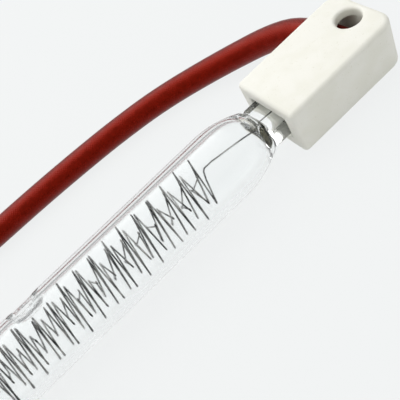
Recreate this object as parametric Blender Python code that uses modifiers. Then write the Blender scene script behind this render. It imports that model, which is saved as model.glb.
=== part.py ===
"""A quartz heating tube: a star-wound bare wire coil sealed in clear quartz, with a flat press
seal, a ceramic cap and a sleeved lead at each end.

The tube lies along X on the plane Z = 0 and the origin is under its middle. End a is at +X.
End b is end a turned half round about Z.
"""

import math

import bmesh
import bpy
from mathutils import Matrix, Vector

MM = 0.001
CLEARANCE = 0.3 * MM

# The whole object
OVERALL_LENGTH = 200.0 * MM

# The quartz envelope
TUBE_RADIUS = 6.0 * MM
TUBE_WALL = 1.1 * MM
TUBE_SIDES = 32
DOME_LENGTH = 7.7 * MM
SHOULDER_RADIUS = 4.1 * MM
SHOULDER_LENGTH = 1.3 * MM
DOME_FLOOR = 1.3 * MM
DOME_SQUARENESS = 3.4
SEAL_WIDTH = 7.7 * MM
SEAL_THICKNESS = 4.1 * MM
SEAL_SQUARENESS = 8.0
SEAL_BARE = 3.3 * MM
TIP_OFF_FROM_CAP = 46.3 * MM
TIP_OFF_ANGLE = math.radians(43)
TIP_OFF_LENGTH = 6.2 * MM
TIP_OFF_WIDTH = 3.4 * MM
TIP_OFF_HEIGHT = 1.1 * MM

# Sections between the dome's round shoulder and the flat seal: how far along the shoulder,
# how far the width and the height have gone from round to flat, and how square they are
SHOULDER_SECTIONS = (
    (0.2, 0.4, 0.25, 2.1),
    (0.4, 0.95, 0.6, 2.8),
    (0.62, 1.0, 0.87, 4.5),
)

# The heating wire
WIRE_RADIUS = 0.12 * MM
COIL_FROM_CAP = 14.45 * MM
TIP_PITCH = 0.397 * MM
TIP_BEND = 0.2 * MM
STAR_POINTS = 7
STAR_STEP = 3
STAR_DRIFT = math.radians(1.7)
END_LEAN = 0.75 * MM
MIDDLE_LEAN = 1.4 * MM
LEAN_RISE = 40.0 * MM
LAST_LEAN_ANGLE = math.radians(63)
LEAN_TURN_LENGTH = 255.0 * MM
LAST_TIP_ANGLE = math.radians(-137)
UNEVEN_PITCH = 0.12 * MM
UNEVEN_TIPS = 0.1 * MM
LAST_TIP_RADIUS = 3.6 * MM

# The wire's leg at end a in millimetres, between its last tip and the straight stretch to the
# seal: how far past the cap's front face, how far across, and how high above the tube's axis
LEG_ROUTE = (
    (-13.99, 0.10, 0.09),
    (-13.43, 0.94, 0.87),
    (-13.08, 1.13, 1.05),
    (-12.45, 1.26, 1.17),
    (-11.55, 1.18, 1.10),
)

# The press seal's foil and pin
FOIL_LENGTH = 4.4 * MM
FOIL_WIDTH = 2.4 * MM
FOIL_THICKNESS = 0.15 * MM
FOIL_FROM_SEAL_END = 2.0 * MM
FOIL_WELD = 1.0 * MM
PIN_RADIUS = 0.4 * MM
PIN_IN_SPLICE = 1.8 * MM

# The ceramic cap
CAP_LENGTH = 21.8 * MM
CAP_WIDTH = 13.0 * MM
CAP_HEIGHT = 8.8 * MM
CAP_EDGE = 0.7 * MM
CAP_END_CORNER = 2.6 * MM
CAP_END_WALL = 1.2 * MM
CAP_SIDE_WALL = 1.9 * MM
CAP_FACE_WALL = 1.5 * MM
HOLE_FROM_END = 3.3 * MM
HOLE_RADIUS = 2.1 * MM
HOLE_ROUNDING = 0.55 * MM
CHAMBER_LENGTH = 10.6 * MM
CEMENT_LENGTH = 1.7 * MM

# The splice inside the cap
SPLICE_WALL = 0.4 * MM
SPLICE_LENGTH = 3.4 * MM
CRIMP_DEPTH = 0.15 * MM
CRIMP_LENGTH = 0.8 * MM
CRIMP_FLARE = 0.4 * MM
CORE_RADIUS = 0.6 * MM
CORE_BEND = 1.4 * MM

# The sleeved lead and its end
LEAD_RADIUS = 2.3 * MM
LEAD_SPACING = 6.0 * MM
STRIPPED_LENGTH = 8.0 * MM
BARREL_RADIUS = 1.8 * MM
BARREL_LENGTH = 6.0 * MM
TAB_LENGTH = 9.0 * MM
TAB_WIDTH = 6.3 * MM
TAB_THICKNESS = 0.8 * MM
TAB_TIP = 1.1 * MM
TAB_DIMPLE = 0.8 * MM

# The lead of end a in millimetres, from inside the cap, out of its side and along the tube:
# how far past the cap's far end, how far across, and how high above the plane Z = 0
LEAD_ROUTE = (
    (-4.7, 0.9, 5.97),
    (-4.9, 4.0, 6.0),
    (-5.6, 7.5, 6.05),
    (-7.0, 11.4, 5.7),
    (-9.7, 15.2, 4.7),
    (-13.5, 18.8, 3.5),
    (-18.5, 22.1, 2.65),
    (-24.7, 24.8, 2.35),
    (-31.3, 26.7, 2.35),
    (-39.7, 28.2, 2.35),
    (-48.7, 29.2, 2.35),
    (-58.0, 29.9, 2.35),
    (-67.4, 30.3, 2.35),
    (-79.0, 30.7, 2.35),
    (-91.0, 31.0, 2.35),
    (-103.5, 31.3, 2.35),
    (-116.0, 31.5, 2.35),
    (-128.5, 31.5, 2.35),
)

# A facet of the tube lies flat on Z = 0, so its axis is a little lower than its radius
AXIS_HEIGHT = TUBE_RADIUS * math.cos(math.pi / TUBE_SIDES)
CAP_END = OVERALL_LENGTH / 2
CAP_FRONT = CAP_END - CAP_LENGTH
SHOULDER = CAP_FRONT - SEAL_BARE
BORE_RADIUS = TUBE_RADIUS - TUBE_WALL
COIL_RADIUS = BORE_RADIUS - WIRE_RADIUS - CLEARANCE
CHAMBER_END = CAP_END - CAP_END_WALL
CHAMBER_START = CHAMBER_END - CHAMBER_LENGTH
CEMENT_END = CHAMBER_START - CLEARANCE
CEMENT_START = CEMENT_END - CEMENT_LENGTH
SEAL_END = CEMENT_START - CLEARANCE
SPLICE_START = CHAMBER_START + CLEARANCE
PIN_END = SPLICE_START + PIN_IN_SPLICE
FLOOR_RADIUS = WIRE_RADIUS + 3 * CLEARANCE
FOIL_END = SEAL_END - FOIL_FROM_SEAL_END
FOIL_START = FOIL_END - FOIL_LENGTH
FOIL_TOP = AXIS_HEIGHT - PIN_RADIUS - CLEARANCE


def collection(name):
    """A new collection in the scene."""
    made = bpy.data.collections.new(name)
    bpy.context.scene.collection.children.link(made)
    return made


def material(name, colour, roughness, metallic=0.0, transmission=0.0, ior=1.5):
    """A Principled material with the finish of one kind of part."""
    made = bpy.data.materials.new(name)
    made.use_nodes = True
    shader = made.node_tree.nodes["Principled BSDF"]
    shader.inputs["Base Color"].default_value = (*colour, 1.0)
    shader.inputs["Roughness"].default_value = roughness
    shader.inputs["Metallic"].default_value = metallic
    shader.inputs["Transmission Weight"].default_value = transmission
    shader.inputs["IOR"].default_value = ior
    made.diffuse_color = (*colour, 1.0)
    return made


def add_object(name, data, holder, finish=None, parent=None):
    """An object for this data, in the collection, under its end's empty."""
    made = bpy.data.objects.new(name, data)
    holder.objects.link(made)
    made.parent = parent
    if finish is not None:
        data.materials.append(finish)
    if holder.name == "cutters":
        made.hide_render = True
        made.display_type = "WIRE"
    return made


def mesh_object(name, shape, holder, finish=None, parent=None, smooth=False):
    """An object whose mesh is this bmesh, with its faces pointing out."""
    bmesh.ops.recalc_face_normals(shape, faces=shape.faces)
    data = bpy.data.meshes.new(name)
    shape.to_mesh(data)
    shape.free()
    if smooth:
        data.shade_smooth()
        data.set_sharp_from_angle(angle=math.radians(35))
    return add_object(name, data, holder, finish, parent)


def box(low, high):
    """A box between two corners, as a bmesh."""
    low = Vector(low)
    high = Vector(high)
    shape = bmesh.new()
    size = Matrix.Diagonal((*(high - low), 1.0))
    bmesh.ops.create_cube(shape, size=1.0, matrix=Matrix.Translation((low + high) / 2) @ size)
    return shape


def rod(start, end, radius, sides=12):
    """A round bar from one point to another, as a bmesh."""
    start = Vector(start)
    end = Vector(end)
    turn = (end - start).to_track_quat("Z", "Y").to_matrix().to_4x4()
    shape = bmesh.new()
    bmesh.ops.create_cone(
        shape,
        cap_ends=True,
        segments=sides,
        radius1=radius,
        radius2=radius,
        depth=(end - start).length,
        matrix=Matrix.Translation((start + end) / 2) @ turn,
    )
    return shape


def turned(name, profile, centre, axis, holder, finish=None, parent=None, sides=20):
    """A turned object: the profile is (distance from the axis, place along it), top to bottom."""
    shape = bmesh.new()
    points = [shape.verts.new((radius, 0.0, along)) for radius, along in profile]
    for first, second in zip(points, points[1:]):
        shape.edges.new((first, second))
    if profile[0][0] > 0.0:
        shape.edges.new((points[-1], points[0]))
    data = bpy.data.meshes.new(name)
    shape.to_mesh(data)
    shape.free()
    made = add_object(name, data, holder, finish, parent)
    made.location = centre
    made.rotation_mode = "QUATERNION"
    made.rotation_quaternion = Vector(axis).to_track_quat("Z", "Y")
    screw = made.modifiers.new("turn", "SCREW")
    screw.steps = sides
    screw.render_steps = sides
    screw.use_merge_vertices = True
    screw.merge_threshold = 0.000001
    screw.use_smooth_shade = True
    return made


def cut(target, cutter, operation="DIFFERENCE"):
    """One Boolean on the target."""
    modifier = target.modifiers.new(cutter.name, "BOOLEAN")
    modifier.operation = operation
    modifier.object = cutter
    return modifier


def wire(name, points, radius, resolution, holder, finish, parent=None):
    """A round wire through the points, with closed ends."""
    data = bpy.data.curves.new(name, "CURVE")
    data.dimensions = "3D"
    data.bevel_depth = radius
    data.bevel_resolution = resolution
    data.use_fill_caps = True
    spline = data.splines.new("POLY")
    spline.points.add(len(points) - 1)
    for point, place in zip(spline.points, points):
        point.co = (*place, 1.0)
    spline.use_smooth = True
    return add_object(name, data, holder, finish, parent)


def route_point(number):
    """One point of the lead's route at end a."""
    return Vector((CAP_END, 0, 0)) + Vector(LEAD_ROUTE[number]) * MM


def between(before, start, end, after, share):
    """A point of the smooth curve that runs from start to end."""
    slope_start = (end - before) / 2
    slope_end = (after - start) / 2
    square = share * share
    cube = square * share
    return (
        (2 * cube - 3 * square + 1) * start
        + (cube - 2 * square + share) * slope_start
        + (3 * square - 2 * cube) * end
        + (cube - square) * slope_end
    )


def smooth_route(route, spacing):
    """The route as a smooth curve, with its points about the spacing apart."""
    ends = [2 * route[0] - route[1], *route, 2 * route[-1] - route[-2]]
    fine = []
    for before, start, end, after in zip(ends, ends[1:], ends[2:], ends[3:]):
        fine += [between(before, start, end, after, step / 20) for step in range(20)]
    fine.append(route[-1])
    lengths = [0.0]
    for first, second in zip(fine, fine[1:]):
        lengths.append(lengths[-1] + (second - first).length)
    count = round(lengths[-1] / spacing)
    points = []
    index = 0
    for number in range(count):
        along = lengths[-1] * number / count
        while lengths[index + 1] < along:
            index += 1
        share = (along - lengths[index]) / (lengths[index + 1] - lengths[index])
        points.append(fine[index].lerp(fine[index + 1], share))
    points.append(fine[-1])
    return points


def section(along, half_width, half_height, squareness):
    """The points of one section across the tube: 2 is an ellipse, and more is squarer."""
    points = []
    for number in range(TUBE_SIDES):
        angle = 2 * math.pi * (number + 0.5) / TUBE_SIDES
        across = math.copysign(abs(math.cos(angle)) ** (2 / squareness), math.cos(angle))
        up = math.copysign(abs(math.sin(angle)) ** (2 / squareness), math.sin(angle))
        points.append(Vector((along, half_width * across, AXIS_HEIGHT + half_height * up)))
    return points


def loft(sections):
    """A closed skin through sections that have as many points each, as a bmesh."""
    shape = bmesh.new()
    rings = [[shape.verts.new(point) for point in ring] for ring in sections]
    for first, second in zip(rings, rings[1:]):
        for number in range(TUBE_SIDES):
            after = (number + 1) % TUBE_SIDES
            shape.faces.new((first[number], first[after], second[after], second[number]))
    shape.faces.new(rings[0])
    shape.faces.new(rings[-1])
    return shape


def mirrored(sections):
    """Sections of one end, with their mirror images for the other end before them."""
    other = [[Vector((-point.x, point.y, point.z)) for point in ring] for ring in sections]
    return other[::-1] + sections


def outer_sections():
    """The outside of the glass at end a: tube, dome, rounded shoulder and flat press seal."""
    fall = TUBE_RADIUS - SHOULDER_RADIUS
    steps = 6
    rings = []
    for number in range(steps + 1):
        share = number / steps
        radius = TUBE_RADIUS - fall * share**2
        rings.append(section(SHOULDER - DOME_LENGTH * (1 - share), radius, radius, 2))
    half_width = SEAL_WIDTH / 2
    half_height = SEAL_THICKNESS / 2
    for share, narrowed, flattened, squareness in SHOULDER_SECTIONS:
        along = SHOULDER + SHOULDER_LENGTH * share
        across = SHOULDER_RADIUS + (half_width - SHOULDER_RADIUS) * narrowed
        up = SHOULDER_RADIUS + (half_height - SHOULDER_RADIUS) * flattened
        rings.append(section(along, across, up, squareness))
    for along in (SHOULDER + SHOULDER_LENGTH, SEAL_END):
        rings.append(section(along, half_width, half_height, SEAL_SQUARENESS))
    return rings


def bore_sections():
    """The inside of the glass at end a, down to the floor of the dome."""
    length = DOME_LENGTH - DOME_FLOOR + TUBE_WALL
    start = SHOULDER - DOME_FLOOR - length
    steps = 6
    rings = []
    for number in range(steps):
        share = number / steps
        radius = BORE_RADIUS * math.sqrt(1 - share**DOME_SQUARENESS)
        rings.append(section(start + length * share, radius, radius, 2))
    rings.append(section(start + length, FLOOR_RADIUS, FLOOR_RADIUS, 2))
    return rings


def make_envelope(parts, cutters, finish, ends):
    """The glass, hollow to its two domes, with the ways of the wire, foil and pin through its seals."""
    envelope = mesh_object("quartz_envelope", loft(mirrored(outer_sections())), parts, finish, smooth=True)
    bore = mesh_object("bore", loft(mirrored(bore_sections())), cutters)
    tip_off = bmesh.new()
    size = Matrix.Diagonal((TIP_OFF_LENGTH / 2, TIP_OFF_HEIGHT, TIP_OFF_WIDTH / 2, 1.0))
    place = Vector(
        (
            CAP_FRONT - TIP_OFF_FROM_CAP,
            BORE_RADIUS * math.cos(TIP_OFF_ANGLE),
            AXIS_HEIGHT + BORE_RADIUS * math.sin(TIP_OFF_ANGLE),
        )
    )
    tilt = Matrix.Rotation(TIP_OFF_ANGLE, 4, "X")
    bmesh.ops.create_uvsphere(
        tip_off, u_segments=16, v_segments=8, radius=1.0, matrix=Matrix.Translation(place) @ tilt @ size
    )
    cut(bore, mesh_object("tip_off", tip_off, cutters))
    cut(envelope, bore)
    for end, empty in ends.items():
        ways = {
            "wire_way": rod(
                (SHOULDER - DOME_FLOOR - TUBE_WALL, 0, AXIS_HEIGHT),
                (FOIL_START + FOIL_WELD + CLEARANCE, 0, AXIS_HEIGHT),
                WIRE_RADIUS + CLEARANCE,
            ),
            "foil_way": box(
                (FOIL_START - CLEARANCE, -FOIL_WIDTH / 2 - CLEARANCE, FOIL_TOP - FOIL_THICKNESS - CLEARANCE),
                (FOIL_END + CLEARANCE, FOIL_WIDTH / 2 + CLEARANCE, AXIS_HEIGHT - PIN_RADIUS),
            ),
            "pin_way": rod(
                (FOIL_END - FOIL_WELD - CLEARANCE, 0, AXIS_HEIGHT),
                (SEAL_END + TUBE_WALL, 0, AXIS_HEIGHT),
                PIN_RADIUS + CLEARANCE,
            ),
        }
        for way, shape in ways.items():
            cut(envelope, mesh_object(f"{way}_{end}", shape, cutters, parent=empty))


def star_points():
    """The wire's path through the coil, from end b to end a, with two points for each hairpin tip.

    The stars lean along the tube, most in its middle, and the side that leads turns slowly round.
    """
    length = OVERALL_LENGTH - 2 * (CAP_LENGTH + COIL_FROM_CAP)
    count = round(length / TIP_PITCH)
    turn = 2 * math.pi * STAR_STEP / STAR_POINTS + STAR_DRIFT
    half_bend = TIP_BEND / COIL_RADIUS
    half_lens = TIP_OFF_WIDTH / 2 / BORE_RADIUS
    tip_off = CAP_FRONT - TIP_OFF_FROM_CAP
    start = -TIP_PITCH * count / 2
    first_angle = LAST_TIP_ANGLE - turn * count
    points = []
    for number in range(count + 1):
        radius = COIL_RADIUS - UNEVEN_TIPS * (1 + math.sin(2.3 * number))
        angle = first_angle + turn * number
        along = start + TIP_PITCH * number + UNEVEN_PITCH * math.sin(1.7 * number)
        rise = min(1.0, TIP_PITCH * min(number, count - number) / LEAN_RISE)
        lean = END_LEAN + (MIDDLE_LEAN - END_LEAN) * rise
        lean_angle = LAST_LEAN_ANGLE + 2 * math.pi * TIP_PITCH * (count - number) / LEAN_TURN_LENGTH
        along += lean * math.cos(angle - lean_angle)
        off = math.remainder(angle - TIP_OFF_ANGLE, 2 * math.pi)
        if abs(along - tip_off) < TIP_OFF_LENGTH / 2 and abs(off) < 2 * half_lens:
            radius = BORE_RADIUS - TIP_OFF_HEIGHT - WIRE_RADIUS - CLEARANCE
        if number in (0, count):
            radius = LAST_TIP_RADIUS
        for side in (-half_bend, half_bend):
            place = angle - side
            points.append(
                Vector((along, radius * math.cos(place), AXIS_HEIGHT + radius * math.sin(place)))
            )
    return points


def make_coil(parts, finish):
    """The heating wire: star-wound between the domes, with a straight leg through each seal."""
    start = Vector((CAP_FRONT, 0, AXIS_HEIGHT))
    leg = [start + Vector(place) * MM for place in LEG_ROUTE]
    leg.append(Vector((SHOULDER - DOME_FLOOR + CLEARANCE, 0, AXIS_HEIGHT)))
    leg.append(Vector((FOIL_START + FOIL_WELD, 0, AXIS_HEIGHT)))
    other = [Vector((-point.x, -point.y, point.z)) for point in leg]
    wire("heating_coil", other[::-1] + star_points() + leg, WIRE_RADIUS, 1, parts, finish)


def make_seal_parts(end, empty, parts, finishes):
    """The foil in the glass and the pin that leaves it."""
    foil = box(
        (FOIL_START, -FOIL_WIDTH / 2, FOIL_TOP - FOIL_THICKNESS),
        (FOIL_END, FOIL_WIDTH / 2, FOIL_TOP),
    )
    mesh_object(f"seal_foil_{end}", foil, parts, finishes["foil"], empty)
    pin = rod(
        (FOIL_END - FOIL_WELD, 0, AXIS_HEIGHT),
        (PIN_END, 0, AXIS_HEIGHT),
        PIN_RADIUS,
    )
    mesh_object(f"outer_pin_{end}", pin, parts, finishes["pin"], empty, smooth=True)


def rounded_block():
    """The cap's outside: round upright corners at the far end and softly rounded edges all over."""
    shape = box(
        (CAP_FRONT, -CAP_WIDTH / 2, AXIS_HEIGHT - CAP_HEIGHT / 2),
        (CAP_END, CAP_WIDTH / 2, AXIS_HEIGHT + CAP_HEIGHT / 2),
    )
    far = CAP_FRONT + CAP_LENGTH / 2
    upright = [
        edge
        for edge in shape.edges
        if all(vertex.co.x > far for vertex in edge.verts)
        and abs(edge.verts[0].co.z - edge.verts[1].co.z) > CAP_HEIGHT / 2
    ]
    bmesh.ops.bevel(shape, geom=upright, offset=CAP_END_CORNER, segments=5, profile=0.5, affect="EDGES")
    sharp = [edge for edge in shape.edges if edge.calc_face_angle(0.0) > math.radians(40)]
    bmesh.ops.bevel(shape, geom=sharp, offset=CAP_EDGE, segments=4, profile=0.5, affect="EDGES")
    return shape


def hole_profile(top, bottom):
    """The round hole in the cap's wide face, flared by its rounded rim."""
    mouth = HOLE_RADIUS + HOLE_ROUNDING
    profile = [(0.0, top + HOLE_ROUNDING), (mouth, top + HOLE_ROUNDING), (mouth, top)]
    steps = 4
    for number in range(1, steps + 1):
        angle = math.pi / 2 * number / steps
        profile.append(
            (mouth - HOLE_ROUNDING * math.sin(angle), top - HOLE_ROUNDING * (1 - math.cos(angle)))
        )
    return profile + [(HOLE_RADIUS, bottom), (0.0, bottom)]


def make_cap(end, empty, parts, cutters, finishes):
    """The ceramic cap: slot for the press seal, wire chamber, round hole and side outlet."""
    cap = mesh_object(f"ceramic_cap_{end}", rounded_block(), parts, finishes["ceramic"], empty, smooth=True)
    slot_width = SEAL_WIDTH / 2 + CLEARANCE
    slot_height = SEAL_THICKNESS / 2 + CLEARANCE
    slot = box(
        (CAP_FRONT - CAP_EDGE, -slot_width, AXIS_HEIGHT - slot_height),
        (CHAMBER_START + CAP_EDGE, slot_width, AXIS_HEIGHT + slot_height),
    )
    side = CAP_WIDTH / 2 - CAP_SIDE_WALL
    face = CAP_HEIGHT / 2 - CAP_FACE_WALL
    chamber = box(
        (CHAMBER_START, -side, AXIS_HEIGHT - face),
        (CHAMBER_END, side, AXIS_HEIGHT + face),
    )
    outlet = rod(
        route_point(1),
        2 * route_point(2) - route_point(1),
        LEAD_RADIUS + CLEARANCE,
        20,
    )
    cut(cap, mesh_object(f"slot_{end}", slot, cutters, parent=empty))
    cut(cap, mesh_object(f"chamber_{end}", chamber, cutters, parent=empty))
    cut(cap, mesh_object(f"outlet_{end}", outlet, cutters, parent=empty))
    profile = hole_profile(CAP_HEIGHT / 2, 0.0)
    place = (CAP_END - HOLE_FROM_END, 0, AXIS_HEIGHT)
    cut(cap, turned(f"hole_{end}", profile, place, (0, 0, 1), cutters, parent=empty, sides=24))


def make_cement(end, empty, parts, cutters, finishes):
    """The cement that fills the slot behind the glass, round the pin."""
    half_width = SEAL_WIDTH / 2
    half_height = SEAL_THICKNESS / 2
    block = box(
        (CEMENT_START, -half_width, AXIS_HEIGHT - half_height),
        (CEMENT_END, half_width, AXIS_HEIGHT + half_height),
    )
    cement = mesh_object(f"cement_{end}", block, parts, finishes["cement"], empty)
    way = rod(
        (CEMENT_START - CLEARANCE, 0, AXIS_HEIGHT),
        (CEMENT_END + CLEARANCE, 0, AXIS_HEIGHT),
        PIN_RADIUS + CLEARANCE,
    )
    cut(cement, mesh_object(f"cement_way_{end}", way, cutters, parent=empty))


def core_points(finish):
    """The bare strands' way out of the splice and round two bends of one radius into the lead."""
    swing = math.acos((1 + finish.y / CORE_BEND) / 2)
    first_bend = finish.x - CORE_BEND * (1 + 2 * math.sin(swing))
    points = [Vector((PIN_END + CLEARANCE, 0, AXIS_HEIGHT))]
    steps = 3
    for number in range(steps):
        angle = swing * number / steps
        along = first_bend + CORE_BEND * math.sin(angle)
        points.append(Vector((along, CORE_BEND * (math.cos(angle) - 1), AXIS_HEIGHT)))
    steps = 8
    for number in range(steps + 1):
        heading = (math.pi / 2 + swing) * number / steps - swing
        along = finish.x - CORE_BEND * (1 - math.sin(heading))
        points.append(Vector((along, finish.y - CORE_BEND * math.cos(heading), AXIS_HEIGHT)))
    return points


def make_splice(end, empty, parts, finishes):
    """The crimp sleeve on the pin and the bare strands that bend round into the sleeving."""
    bore = CORE_RADIUS + CLEARANCE
    outside = bore + SPLICE_WALL
    crimp_start = (SPLICE_LENGTH - CRIMP_LENGTH) / 2
    crimp_end = crimp_start + CRIMP_LENGTH
    profile = [
        (outside, SPLICE_LENGTH),
        (outside, crimp_end + CRIMP_FLARE),
        (outside - CRIMP_DEPTH, crimp_end),
        (outside - CRIMP_DEPTH, crimp_start),
        (outside, crimp_start - CRIMP_FLARE),
        (outside, 0.0),
        (bore, 0.0),
        (bore, SPLICE_LENGTH),
    ]
    place = (SPLICE_START, 0, AXIS_HEIGHT)
    turned(f"splice_{end}", profile, place, (1, 0, 0), parts, finishes["splice"], empty, 16)
    inner = route_point(0)
    aim = (route_point(1) - inner).normalized()
    wire(f"core_{end}", core_points(inner - CLEARANCE * aim), CORE_RADIUS, 2, parts, finishes["core"], empty)


def make_lead(end, empty, parts, finishes):
    """The sleeved lead, from inside the cap to its stripped end."""
    route = [route_point(number) for number in range(len(LEAD_ROUTE))]
    wire(f"lead_{end}", smooth_route(route, LEAD_SPACING), LEAD_RADIUS, 3, parts, finishes["sleeving"], empty)


def make_terminal(end, empty, parts, cutters, finishes):
    """The stripped strands and the flat tab crimped on them."""
    tip = route_point(-1)
    aim = (tip - route_point(-2)).normalized()
    start = tip + CLEARANCE * aim
    strands = rod(start, start + STRIPPED_LENGTH * aim, CORE_RADIUS)
    mesh_object(f"strands_{end}", strands, parts, finishes["core"], empty, smooth=True)
    barrel = mesh_object(
        f"terminal_{end}",
        rod(start, start + BARREL_LENGTH * aim, BARREL_RADIUS, 20),
        parts,
        finishes["tab"],
        empty,
        smooth=True,
    )
    under = tip.z - BARREL_RADIUS
    root = start + (BARREL_LENGTH - 2 * TAB_THICKNESS) * aim
    end_of_tab = root + (2 * TAB_THICKNESS + TAB_LENGTH) * aim
    blade = box(
        (end_of_tab.x, tip.y - TAB_WIDTH / 2, under),
        (root.x, tip.y + TAB_WIDTH / 2, under + TAB_THICKNESS),
    )
    middle = (root.x + end_of_tab.x) / 2
    corners = [
        edge
        for edge in blade.edges
        if all(vertex.co.x < middle for vertex in edge.verts)
        and abs(edge.verts[0].co.z - edge.verts[1].co.z) > TAB_THICKNESS / 2
    ]
    bmesh.ops.bevel(blade, geom=corners, offset=TAB_TIP, segments=1, affect="EDGES")
    cut(barrel, mesh_object(f"blade_{end}", blade, cutters, parent=empty), "UNION")
    bore = rod(
        start - CLEARANCE * aim,
        start + (STRIPPED_LENGTH + CLEARANCE) * aim,
        CORE_RADIUS + CLEARANCE,
    )
    cut(barrel, mesh_object(f"barrel_bore_{end}", bore, cutters, parent=empty))
    dimple = rod(
        (middle, tip.y, under - CLEARANCE),
        (middle, tip.y, under + TAB_THICKNESS + CLEARANCE),
        TAB_DIMPLE,
    )
    cut(barrel, mesh_object(f"dimple_{end}", dimple, cutters, parent=empty))


def main():
    """Clears the scene and models the whole object."""
    for old in list(bpy.data.objects):
        bpy.data.objects.remove(old)
    parts = collection("quartz_heating_tube")
    cutters = collection("cutters")
    quartz = material("clear quartz", (0.95, 0.97, 0.97), 0.02, transmission=1.0, ior=1.458)
    heating_wire = material("resistance wire", (0.12, 0.12, 0.12), 0.4, 1.0)
    finishes = {
        "ceramic": material("unglazed ceramic", (0.88, 0.87, 0.8), 0.75),
        "cement": material("sealing cement", (0.62, 0.6, 0.54), 0.9),
        "foil": material("molybdenum foil", (0.45, 0.45, 0.46), 0.35, 1.0),
        "pin": material("molybdenum rod", (0.4, 0.4, 0.41), 0.4, 1.0),
        "splice": material("nickel-plated steel", (0.6, 0.58, 0.54), 0.35, 1.0),
        "core": material("nickel strands", (0.62, 0.6, 0.56), 0.35, 1.0),
        "sleeving": material("red silicone sleeving", (0.35, 0.02, 0.01), 0.45),
        "tab": material("tinned brass", (0.75, 0.74, 0.7), 0.3, 1.0),
    }
    ends = {}
    for end, turn in (("a", 0.0), ("b", math.pi)):
        empty = bpy.data.objects.new(f"end_{end}", None)
        parts.objects.link(empty)
        empty.rotation_euler = (0.0, 0.0, turn)
        ends[end] = empty
    make_envelope(parts, cutters, quartz, ends)
    make_coil(parts, heating_wire)
    for end, empty in ends.items():
        make_seal_parts(end, empty, parts, finishes)
        make_cap(end, empty, parts, cutters, finishes)
        make_cement(end, empty, parts, cutters, finishes)
        make_splice(end, empty, parts, finishes)
        make_lead(end, empty, parts, finishes)
        make_terminal(end, empty, parts, cutters, finishes)


main()
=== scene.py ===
"""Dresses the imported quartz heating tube: clear glass, star-wound wire, ceramic caps, red leads.

Sizes in the classes below are in millimetres and angles in degrees, and MM turns millimetres to
metres. End a is the one in the photograph, at +X, and end b is the same end turned half round.
"""

import logging
import math
from dataclasses import dataclass
from enum import Enum
from typing import Callable

import bmesh
import bpy
from mathutils import Matrix, Vector


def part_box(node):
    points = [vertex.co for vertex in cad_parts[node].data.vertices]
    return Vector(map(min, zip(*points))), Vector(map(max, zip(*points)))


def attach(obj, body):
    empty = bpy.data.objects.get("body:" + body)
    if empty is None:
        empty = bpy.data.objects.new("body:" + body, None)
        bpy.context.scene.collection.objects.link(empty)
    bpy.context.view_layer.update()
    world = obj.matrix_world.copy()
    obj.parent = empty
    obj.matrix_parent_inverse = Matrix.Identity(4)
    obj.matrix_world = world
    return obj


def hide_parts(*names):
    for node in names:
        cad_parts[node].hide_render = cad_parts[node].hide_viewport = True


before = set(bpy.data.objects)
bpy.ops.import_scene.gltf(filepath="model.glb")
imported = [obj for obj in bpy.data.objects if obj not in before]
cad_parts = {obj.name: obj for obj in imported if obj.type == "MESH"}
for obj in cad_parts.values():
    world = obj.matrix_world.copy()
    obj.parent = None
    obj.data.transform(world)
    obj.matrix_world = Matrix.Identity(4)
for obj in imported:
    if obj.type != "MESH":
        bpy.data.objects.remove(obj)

LOG = logging.getLogger("quartz_heating_tube")
MM = 0.001
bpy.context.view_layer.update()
AXIS_HEIGHT = sum(corner.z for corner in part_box("quartz_envelope")) / 2 / MM
CAP_FRONT, CAP_END = (corner.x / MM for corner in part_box("ceramic_cap_a"))
# The tip-off's place on the glass, where the coil's tips are shorter
TIP_OFF_FROM_CAP = 46.3
TIP_OFF_ANGLE = 43.0
TIP_OFF_LENGTH = 6.2
# How far a cutter reaches past the face that it cuts
PAST = 1.0
# Points in a ring of the glass or of a cap's slot
SIDES = 96

Ring = list[Vector]
Span = tuple[float, float]
Place = tuple[float, float, float]
Edge = bmesh.types.BMEdge
Material = bpy.types.Material
NodeTree = bpy.types.NodeTree
Piece = bpy.types.Object
Socket = bpy.types.NodeSocket


class End(Enum):
    """The tube's two ends, each with its turn about Z."""

    A = 0.0
    B = math.pi

    @property
    def suffix(self) -> str:
        """The letter that ends the names of this end's pieces."""
        return self.name.lower()

    @property
    def turn(self) -> Matrix:
        """The turn from end a to this end."""
        return Matrix.Rotation(self.value, 4, "Z")


def srgb(code: str) -> tuple[float, float, float, float]:
    """Turns a hex colour, as #RRGGBB, to linear red, green and blue and an alpha of one."""
    channels = [int(code[place : place + 2], 16) / 255 for place in (1, 3, 5)]
    return (*(c / 12.92 if c <= 0.04045 else ((c + 0.055) / 1.055) ** 2.4 for c in channels), 1.0)


def add_node(
    tree: NodeTree, kind: str, inputs: dict | None = None, **settings: object
) -> bpy.types.Node:
    """Adds a node with its settings, values and links.

    Args:
        tree: The node tree that gets the node.
        kind: The node's type without the word ShaderNode, such as Bump.
        inputs: Values, or sockets to link from, by the name or number of the input.
        settings: The node's own properties.

    Returns:
        The new node.
    """
    node = tree.nodes.new(f"ShaderNode{kind}")
    for name, value in settings.items():
        setattr(node, name, value)
    for name, value in (inputs or {}).items():
        if isinstance(value, bpy.types.NodeSocket):
            tree.links.new(value, node.inputs[name])
        else:
            node.inputs[name].default_value = value
    return node


def shares(count: int) -> list[float]:
    """Even steps from 0 to 1, with both ends."""
    return [number / count for number in range(count + 1)]


def calculate(tree: NodeTree, operation: str, *values: object) -> Socket:
    """Works out one step of a pattern, from numbers or sockets."""
    return add_node(tree, "Math", dict(enumerate(values)), operation=operation).outputs[0]


def map_range(tree: NodeTree, value: Socket, start: Span, end: Span) -> Socket:
    """Maps a value smoothly from one range to another."""
    values = dict(enumerate((value, *start, *end)))
    return add_node(tree, "MapRange", values, interpolation_type="SMOOTHSTEP").outputs[0]


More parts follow.
